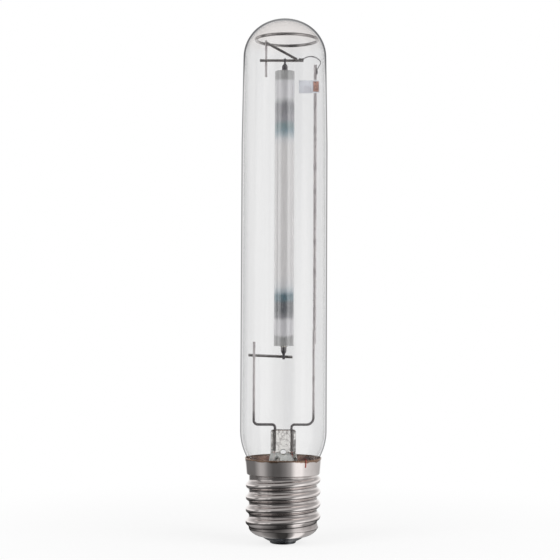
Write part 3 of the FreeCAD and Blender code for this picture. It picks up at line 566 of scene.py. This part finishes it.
WHITE_CERAMIC = (0.95, 0.93, 0.93)
SMOKE = (0.84, 0.85, 0.87)
LILAC = (0.82, 0.81, 0.84)
SLATE = (0.31, 0.31, 0.33)
DUSK = (0.40, 0.39, 0.43)
TEAL = (0.26, 0.36, 0.38)
BLUE = (0.30, 0.42, 0.49)
PALE_BLUE = (0.52, 0.60, 0.66)
DEEP_SLATE = (0.15, 0.16, 0.18)
DEEP_TEAL = (0.12, 0.22, 0.27)
PLUG_GREY = (0.42, 0.42, 0.42)

print("arc tube from", ARC_BOTTOM, "to", ARC_TOP)

# %% [markdown]
# ## Polished ceramic
# A colour ramp along the lamp's height lays the rings, and a noise shifts them so that
# none is a hard line. Most of the light goes into the body, which glows, and about a
# third is sharp gloss, because the drawn tube is smooth and mirrors the bright strips.

# %% Fire the alumina
RING_DRIFT = 0.02
BODY_IOR = 1.25
BODY_GLOW = 0.42
GLOSS_SHARE = 0.29
GLOSS_GRAIN = 0.06
SPECK_WHITE = (0.90, 0.90, 0.89, 1)
POLISH_WHITE = (0.95, 0.95, 0.95, 1)

alumina, chain = new_finish("ringed_alumina")
grain = chain.noise(chain.place(), 900.0, 4.0)
drift = chain.noise(chain.place((1, 1, 0.4)), 120.0, 2.0)
along = (chain.height() - ARC_BOTTOM * MM) / (ARC_LENGTH * MM)
along = along + (drift - 0.5) * RING_DRIFT
# The ramp darkens and tints the tube in rings near both ends.
rings = chain.add("ShaderNodeValToRGB", {"stops": ring_stops(
    [(0, PLUG_GREY), (4.9, PLUG_GREY), (5.9, LILAC), (13.4, LILAC), (15.4, SLATE),
     (18.5, DEEP_SLATE), (22.5, DEEP_SLATE), (24.5, DEEP_TEAL), (26.8, DEEP_TEAL),
     (28.8, PALE_BLUE), (31.5, SMOKE), (37.0, WHITE_CERAMIC)],
    [(0, PLUG_GREY), (4.4, PLUG_GREY), (5.4, LILAC), (14.4, LILAC), (18.2, SLATE),
     (20.5, SLATE), (24.5, DUSK), (26.0, DUSK), (28.6, TEAL), (30.4, TEAL), (32.2, BLUE),
     (34.2, PALE_BLUE), (36.4, SMOKE), (40.0, WHITE_CERAMIC)],
)}, {"Fac": along})
speck = chain.between(grain, 0.35, 0.75)
colour = chain.blend(speck * 0.12, rings, SPECK_WHITE)
body = chain.add("ShaderNodeBsdfPrincipled", None, {
    "Base Color": colour,
    "Roughness": 0.30 + 0.10 * grain,
    "IOR": BODY_IOR,
    "Transmission Weight": BODY_GLOW,
    "Normal": chain.relief(grain, 0.10, 0.0001),
})
polish = chain.add("ShaderNodeBsdfGlossy", None, {"Color": POLISH_WHITE, "Roughness": 0.05})
gloss = GLOSS_SHARE + GLOSS_GRAIN * grain
ceramic = chain.add("ShaderNodeMixShader", None, {0: gloss, 1: body, 2: polish})
chain.add("ShaderNodeOutputMaterial", None, {"Surface": ceramic})
print("ceramic", alumina.name)

# %% [markdown]
# ## Metals
# One recipe serves all the metals. Handling and heat leave broad stains, drawing or
# rolling leaves fine lines, and both change the colour and the gloss together. The two
# leads are darker from the seal to just above their bends.

# %% A recipe for handled metal
LOW_DARK_TONE = (0.11, 0.10, 0.105, 1)
LINES_UP = (1, 1, 0.05)
LINES_ACROSS = (0.05, 1, 1)
EVEN = (1, 1, 1)


def metal_finish(name, colour, stain, roughness, stain_scale, line_stretch, line_scale,
                 relief=0.1, metallic=1.0, dark_below=None):
    """Metal with broad stains and fine lines, and a darker low part that ends between two given
    heights.
    """
    material, chain = new_finish(name)
    cloud = chain.between(chain.noise(chain.place(), stain_scale, 4.0), 0.42, 0.68)
    lines = chain.noise(chain.place(line_stretch), line_scale, 3.0)
    shade = chain.blend(cloud * 0.8, colour + (1,), stain + (1,))
    # A low part, if asked for, is darkened up to the given heights.
    if dark_below:
        low = 1 - chain.between(chain.height(), dark_below[0] * MM, dark_below[1] * MM)
        shade = chain.blend(0.8 * low, shade, LOW_DARK_TONE)
    surface(chain, {
        "Base Color": shade,
        "Metallic": metallic,
        "Roughness": roughness + 0.12 * cloud + 0.08 * lines,
        "Normal": chain.relief(lines, relief, 0.00005),
    })
    return material


wire_metal = metal_finish("drawn_frame_wire", (0.74, 0.70, 0.70), (0.50, 0.46, 0.47),
                          0.24, 180.0, LINES_UP, 1500.0, metallic=0.78, dark_below=(63.5, 74.5))
bright_wire = metal_finish("bright_frame_wire", (0.62, 0.59, 0.58), (0.20, 0.18, 0.18),
                           0.05, 140.0, LINES_ACROSS, 900.0)
strap_metal = metal_finish("rolled_strap", (0.50, 0.48, 0.50), (0.26, 0.24, 0.26),
                           0.30, 300.0, (1, 0.05, 1), 1500.0)
# The getter holder's pale blue-grey is a painted highlight: the glass's bright reflection washed
# over it.
holder_metal = metal_finish("holder_sheet_painted_highlight", (0.76, 0.78, 0.83), (0.58, 0.58, 0.63),
                            0.34, 260.0, (0.1, 1, 1), 900.0, metallic=0.35)
niobium = metal_finish("drawn_niobium", (0.33, 0.32, 0.33), (0.18, 0.16, 0.19),
                       0.30, 300.0, LINES_UP, 1200.0)
tungsten = metal_finish("dark_tungsten", (0.18, 0.18, 0.19), (0.08, 0.08, 0.09),
                        0.38, 400.0, (1, 1, 0.2), 1500.0)
amalgam = metal_finish("bright_amalgam", (0.70, 0.70, 0.71), (0.50, 0.50, 0.52),
                       0.12, 600.0, EVEN, 900.0)
# The contact's near-black colour is painted shade, for its place in the shadow under the cap.
contact_metal = metal_finish("contact_sheet_painted_shade", (0.12, 0.125, 0.135), (0.06, 0.06, 0.065),
                             0.42, 200.0, EVEN, 700.0, relief=0.2)
solder = metal_finish("satin_solder", (0.55, 0.55, 0.56), (0.34, 0.33, 0.33),
                      0.30, 400.0, EVEN, 600.0, relief=0.4)
print("metals made")

# %% [markdown]
# ## Nickel plate on the cap
# The plating is warm and bright. Painted shade darkens the roots of the thread, and the
# distance from the axis decides where it lies. A smear of cement is left along the rim,
# with a wavy lower edge.

# %% Plate the cap
NICKEL = (0.90, 0.84, 0.82, 1)
DULL_NICKEL = (0.72, 0.66, 0.64, 1)
ROOT_SHADE = (0.13, 0.105, 0.10, 1)
SMEAR = (0.24, 0.13, 0.07, 1)
ROOT_SHADE_EASE = 1.5
ROOT_SHADE_DEEPEST = ROOT_RADIUS - 0.1
ROOT_SHADE_NONE = ROOT_RADIUS + 1.3
SMEAR_FOOT = RIM - 1.7
SMEAR_FULL = RIM - 1.1
SMEAR_WAVE = 1.2

cap_metal, chain = new_finish("nickel_plated_sheet")
spot = chain.add("ShaderNodeTexCoord", output=3)
level = chain.add("ShaderNodeVectorMath", {"operation": "MULTIPLY"}, {0: spot, 1: (1, 1, 0)})
from_axis = chain.add("ShaderNodeVectorMath", {"operation": "LENGTH"}, {0: level}, output=1)
# Painted shade: the roots of the thread are darkened, by a cloudy amount.
root = 1 - chain.between(from_axis, ROOT_SHADE_DEEPEST * MM, ROOT_SHADE_NONE * MM)
root = root * chain.between(chain.height(), CAP_CORNER * MM, (CAP_CORNER + ROOT_SHADE_EASE) * MM)
cloud = chain.between(chain.noise(chain.place(), 110.0, 4.0), 0.40, 0.70)
lines = chain.noise(chain.place((0.15, 0.15, 1)), 1400.0, 3.0)
root_shade_grain = chain.between(chain.noise(chain.place(), 260.0, 5.0), 0.35, 0.75)
plate = chain.blend(cloud * 0.5, NICKEL, DULL_NICKEL)
plate = chain.blend(root * (0.26 + 0.18 * root_shade_grain), plate, ROOT_SHADE)
edge = chain.height() + SMEAR_WAVE * MM * (cloud - 0.5)
smear = chain.between(edge, SMEAR_FOOT * MM, SMEAR_FULL * MM)
plate = chain.blend(smear * 0.9, plate, SMEAR)
surface(chain, {
    "Base Color": plate,
    "Metallic": 1.0,
    "Roughness": 0.06 + 0.04 * cloud + 0.04 * root + 0.2 * smear,
    "Normal": chain.relief(lines, 0.04, 0.00003),
})
print("plate on a cap", 2 * RIM_RADIUS, "mm across")

# %% [markdown]
# ## Stone-like and coloured pieces
# Plugs, frit, cement, the getter and the dark insulator share a second recipe: a colour
# with a coarse and a fine grain, more or less glossy, and a little rough to the touch.

# %% A recipe for baked and pressed stuff
def baked_finish(name, colour, dark, roughness, scale, relief=0.3, coat=0.0):
    """Stuff of two colours with a coarse and a fine grain."""
    material, chain = new_finish(name)
    coarse = chain.between(chain.noise(chain.place(), scale, 4.0), 0.38, 0.68)
    fine = chain.noise(chain.place(), scale * 5, 3.0)
    surface(chain, {
        "Base Color": chain.blend(coarse, colour + (1,), dark + (1,)),
        "Roughness": roughness + 0.15 * fine,
        "Coat Weight": coat,
        "Coat Roughness": 0.08,
        "Normal": chain.relief(fine, relief, 0.0001),
    })
    return material


plug_alumina = baked_finish("matt_alumina", (0.62, 0.60, 0.60), (0.50, 0.48, 0.48), 0.5, 300.0)
frit = baked_finish("melted_frit", (0.50, 0.48, 0.44), (0.36, 0.34, 0.32), 0.25, 400.0, 0.3, 0.4)
getter = baked_finish("pressed_getter", (0.38, 0.21, 0.17), (0.12, 0.07, 0.06), 0.6, 700.0)
cement = baked_finish("baked_cement", (0.42, 0.25, 0.19), (0.15, 0.065, 0.05),
                      0.45, 150.0, 0.6, 0.6)
insulator = baked_finish("dark_insulator_glass", (0.050, 0.053, 0.060), (0.030, 0.032, 0.038),
                         0.30, 120.0, 0.1)
cap_wire = baked_finish("reddish_cap_wire", (0.36, 0.09, 0.07), (0.20, 0.04, 0.035), 0.3, 500.0)
print("baked finishes made")

# %% [markdown]
# ## Every piece its finish
# The model's record says what each node is made of, so a table from those slots to the
# finishes is enough. The ring, the bars and the brace are made of the brighter wire.

# %% Give every piece its finish
FINISHES = {
    "bulb_glass": bulb_glass, "stem_glass": stem_glass, "alumina": alumina,
    "plug_alumina": plug_alumina, "frit": frit, "frame_wire": wire_metal,
    "strap_metal": strap_metal, "getter_holder_metal": holder_metal,
    "getter_metal": getter, "niobium": niobium, "tungsten": tungsten,
    "amalgam": amalgam, "cap_metal": cap_metal, "cement": cement,
    "insulator_glass": insulator, "contact_metal": contact_metal, "solder": solder,
    "cap_wire": cap_wire,
}
slots = {part["node"]: part["material_slot"] for part in frame["record"]["subparts"]}
BRIGHT = ("lower_crossbar", "upper_crossbar", "dome_ring", "diagonal_brace")
for node, piece in frame["nodes"].items():
    piece.data.materials.clear()
    piece.data.materials.append(bright_wire if node in BRIGHT else FINISHES[slots[node]])
bulb.data.materials.append(bulb_glass)
bulb.data.materials.append(inner_glass)
cap.data.materials.append(cap_metal)
print("finishes", len(FINISHES), "on", len(slots), "nodes")

# %% [markdown]
# ## The studio
# The lamp stands on a pale floor before a white backdrop. Glass and metal show mostly
# what is round them, so the room has tones of its own, for mirror images alone: bright
# strips in front with a dark gap between them, and white sides and back. Each list goes
# once round the lamp in degrees: ROOM far off, TABLE on the floor, UNDER below the cap.

# %% Tones of the room, for shiny surfaces
ROOM = [
    (-180, 1.0), (-150, 1.0), (-105, 0.92), (-94, 0.35), (-86, 0.20), (-78, 0.85), (-58, 0.90),
    (-52, 0.50), (-44, 0.80), (-36, 0.16), (0, 0.03), (28, 0.08), (38, 0.60), (52, 0.95),
    (66, 0.95), (78, 0.70), (96, 0.75), (110, 0.92), (150, 1.0), (180, 1.0),
]
TABLE = [
    (-180, 1.0), (-160, 0.9), (-148, 0.16), (-95, 0.16), (-71, 0.44), (-60, 0.40), (-45, 0.18),
    (-30, 0.10), (-10, 0.11), (6, 0.19), (22, 0.36), (32, 0.80), (38, 1.0), (56, 1.0), (68, 0.74),
    (95, 0.60), (120, 0.54), (148, 0.46), (160, 0.9), (180, 1.0),
]
UNDER = [
    (-180, 0.30), (-100, 0.30), (-62, 0.40), (-48, 0.25), (-34, 0.16), (-12, 0.04), (10, 0.04),
    (22, 0.30), (30, 1.0), (48, 1.0), (60, 0.40), (100, 0.40), (180, 0.30),
]

print("tones round the lamp", len(ROOM), len(TABLE), len(UNDER))


def room_tone(chain, x, y, tones):
    """How bright the room is in a direction: 0 degrees is the camera's side."""
    side = chain.add("ShaderNodeMath", {"operation": "ARCTAN2"}, {0: x, 1: 0 - y})
    stops = [(degrees / 360 + 0.5, (tone,) * 3) for degrees, tone in tones]
    return chain.add("ShaderNodeValToRGB", {"stops": stops}, {"Fac": side / (2 * math.pi) + 0.5})


def apart(chain, vector):
    """The three parts of a vector."""
    x = chain.add("ShaderNodeSeparateXYZ", None, {0: vector})
    parts = x.socket.node.outputs
    return x, Wire(chain, parts[1]), Wire(chain, parts[2])


# %% [markdown]
# ## The floor
# The floor is pale paint that takes the lamp's shadow, and whitens away from it until it
# meets the backdrop. For mirror images it shows the tones, darker close to the lamp,
# since the thread's undersides look down at their own shade.

# %% Lay the floor
FLOOR_HALF = 1.6
FLOOR_DROP = 0.0002
PAINT = (0.85, 0.85, 0.85, 1)
WHITENING = (0.05, 0.30)
NEAR_WHITE = 0.80
CLOSE_SHADE = 0.15
SHADE_EDGE = (0.04, 0.085)
CAP_EDGE = (0.022, 0.036)
TABLE_EDGE = (0.45, 0.95)

floor_mesh = bmesh.new()
bmesh.ops.create_grid(floor_mesh, x_segments=1, y_segments=1, size=FLOOR_HALF)
floor_data = bpy.data.meshes.new("floor")
floor_mesh.to_mesh(floor_data)
floor_mesh.free()
floor = bpy.data.objects.new("floor", floor_data)
floor.location.z = -FLOOR_DROP
bpy.context.scene.collection.objects.link(floor)

floor_finish, chain = new_finish("pale_floor")
camera_ray, glossy_ray, transmission_ray = ray_kinds(
    chain, "Is Camera Ray", "Is Glossy Ray", "Is Transmission Ray")
spot = chain.add("ShaderNodeTexCoord", output=3)
x, y, _ = apart(chain, spot)
away = chain.add("ShaderNodeVectorMath", {"operation": "LENGTH"}, {0: spot}, output=1)
far = chain.between(away, *WHITENING)
seen = chain.add("ShaderNodeMath", {"operation": "MINIMUM"}, {
    0: camera_ray * (NEAR_WHITE + (1 - NEAR_WHITE) * far) + glossy_ray + transmission_ray, 1: 1.0,
})
paint = chain.add("ShaderNodeBsdfDiffuse", None, {"Color": PAINT})
beside = CLOSE_SHADE + (1 - CLOSE_SHADE) * chain.between(away, *SHADE_EDGE)
under = 1 - chain.between(away, *CAP_EDGE)
past = chain.between(away, *TABLE_EDGE)
mirrored = (room_tone(chain, x, y, TABLE) * beside * (1 - past) * (1 - under)
            + room_tone(chain, x, y, UNDER) * under
            + room_tone(chain, x, y, ROOM) * past)
glow = chain.add("ShaderNodeEmission", None, {"Strength": glossy_ray * (mirrored - 1) + 1})
both = chain.add("ShaderNodeMixShader", None, {0: seen, 1: paint, 2: glow})
chain.add("ShaderNodeOutputMaterial", None, {"Surface": both})
floor.data.materials.append(floor_finish)
print("floor", 2 * FLOOR_HALF, "m across")

# %% [markdown]
# ## The world
# The backdrop is white where the camera sees it. Mirror images see the room's tones
# instead, which even out towards the ceiling, and all other light is a soft grey fill.

# %% Light the world
FILL = 0.45
CEILING = 0.40
CEILING_EDGE = (0.08, 0.55)

world = bpy.data.worlds.new("studio")
bpy.context.scene.world = world
world.use_nodes = True
chain = Chain(world.node_tree)
camera_ray, glossy_ray, transmission_ray = ray_kinds(
    chain, "Is Camera Ray", "Is Glossy Ray", "Is Transmission Ray")
x, y, z = apart(chain, chain.add("ShaderNodeTexCoord", output=0))
overhead = chain.between(z, *CEILING_EDGE)
tone = room_tone(chain, x, y, ROOM) * (1 - overhead) + CEILING * overhead
seen = chain.add("ShaderNodeMath", {"operation": "MINIMUM"},
                 {0: camera_ray + transmission_ray, 1: 1.0})
strength = FILL * (1 - seen) * (1 - glossy_ray) + seen * (1 - glossy_ray) + glossy_ray * tone
background = chain.add("ShaderNodeBackground", None,
                       {"Color": (1, 1, 1, 1), "Strength": strength})
chain.add("ShaderNodeOutputWorld", None, {"Surface": background})
print("world", world.name, "with a fill of", FILL)

# %% [markdown]
# ## Two soft lights
# A tall light on each side gives the ceramic and the wires their form. Mirror images
# and glass don't show them, because the room's tones already draw the bright strips.

# %% Stand the two soft lights
LIGHT_HEIGHT = 0.35
LIGHT_TALL = 1.1
LAMP_MIDDLE = 0.14


def soft_light(name, degrees, width, power):
    """A tall soft light, turned from the camera's side by an angle, aimed at the lamp."""
    light = bpy.data.lights.new(name, "AREA")
    light.shape = "RECTANGLE"
    light.size = width
    light.size_y = LIGHT_TALL
    light.energy = power
    stand = bpy.data.objects.new(name, light)
    side = math.radians(degrees)
    stand.location = (math.sin(side), -math.cos(side), LIGHT_HEIGHT)
    aim = Vector((0, 0, LAMP_MIDDLE)) - stand.location
    stand.rotation_euler = aim.to_track_quat("-Z", "Y").to_euler()
    stand.visible_glossy = False
    stand.visible_transmission = False
    bpy.context.scene.collection.objects.link(stand)
    print(name, "of", power, "W at", degrees, "degrees")


soft_light("left_soft_light", -50, 0.6, 10.0)
soft_light("right_soft_light", 55, 0.8, 13.0)

# %% [markdown]
# ## The camera
# The photograph was taken from a little below half the lamp's height, with a long lens.
# The height and the tilt come from the dome ring and from the thread's crests, and the
# distance from how much wider the ring looks than a far one would.

# %% Set the camera
LENS = 91.33
TILT = 91.66
ROLL = 0.25
EYE = Vector((-0.0021, -0.75, 0.1164))

camera_data = bpy.data.cameras.new("camera")
camera_data.sensor_width = 36.0
camera_data.lens = LENS
camera = bpy.data.objects.new("camera", camera_data)
look = (Matrix.Rotation(math.radians(TILT), 4, "X")
        @ Matrix.Rotation(math.radians(ROLL), 4, "Z"))
camera.matrix_world = Matrix.Translation(EYE) @ look
bpy.context.scene.collection.objects.link(camera)
bpy.context.scene.camera = camera
bpy.context.scene.view_settings.view_transform = "Standard"
print("camera looks up by", round(TILT - 90, 2), "degrees")
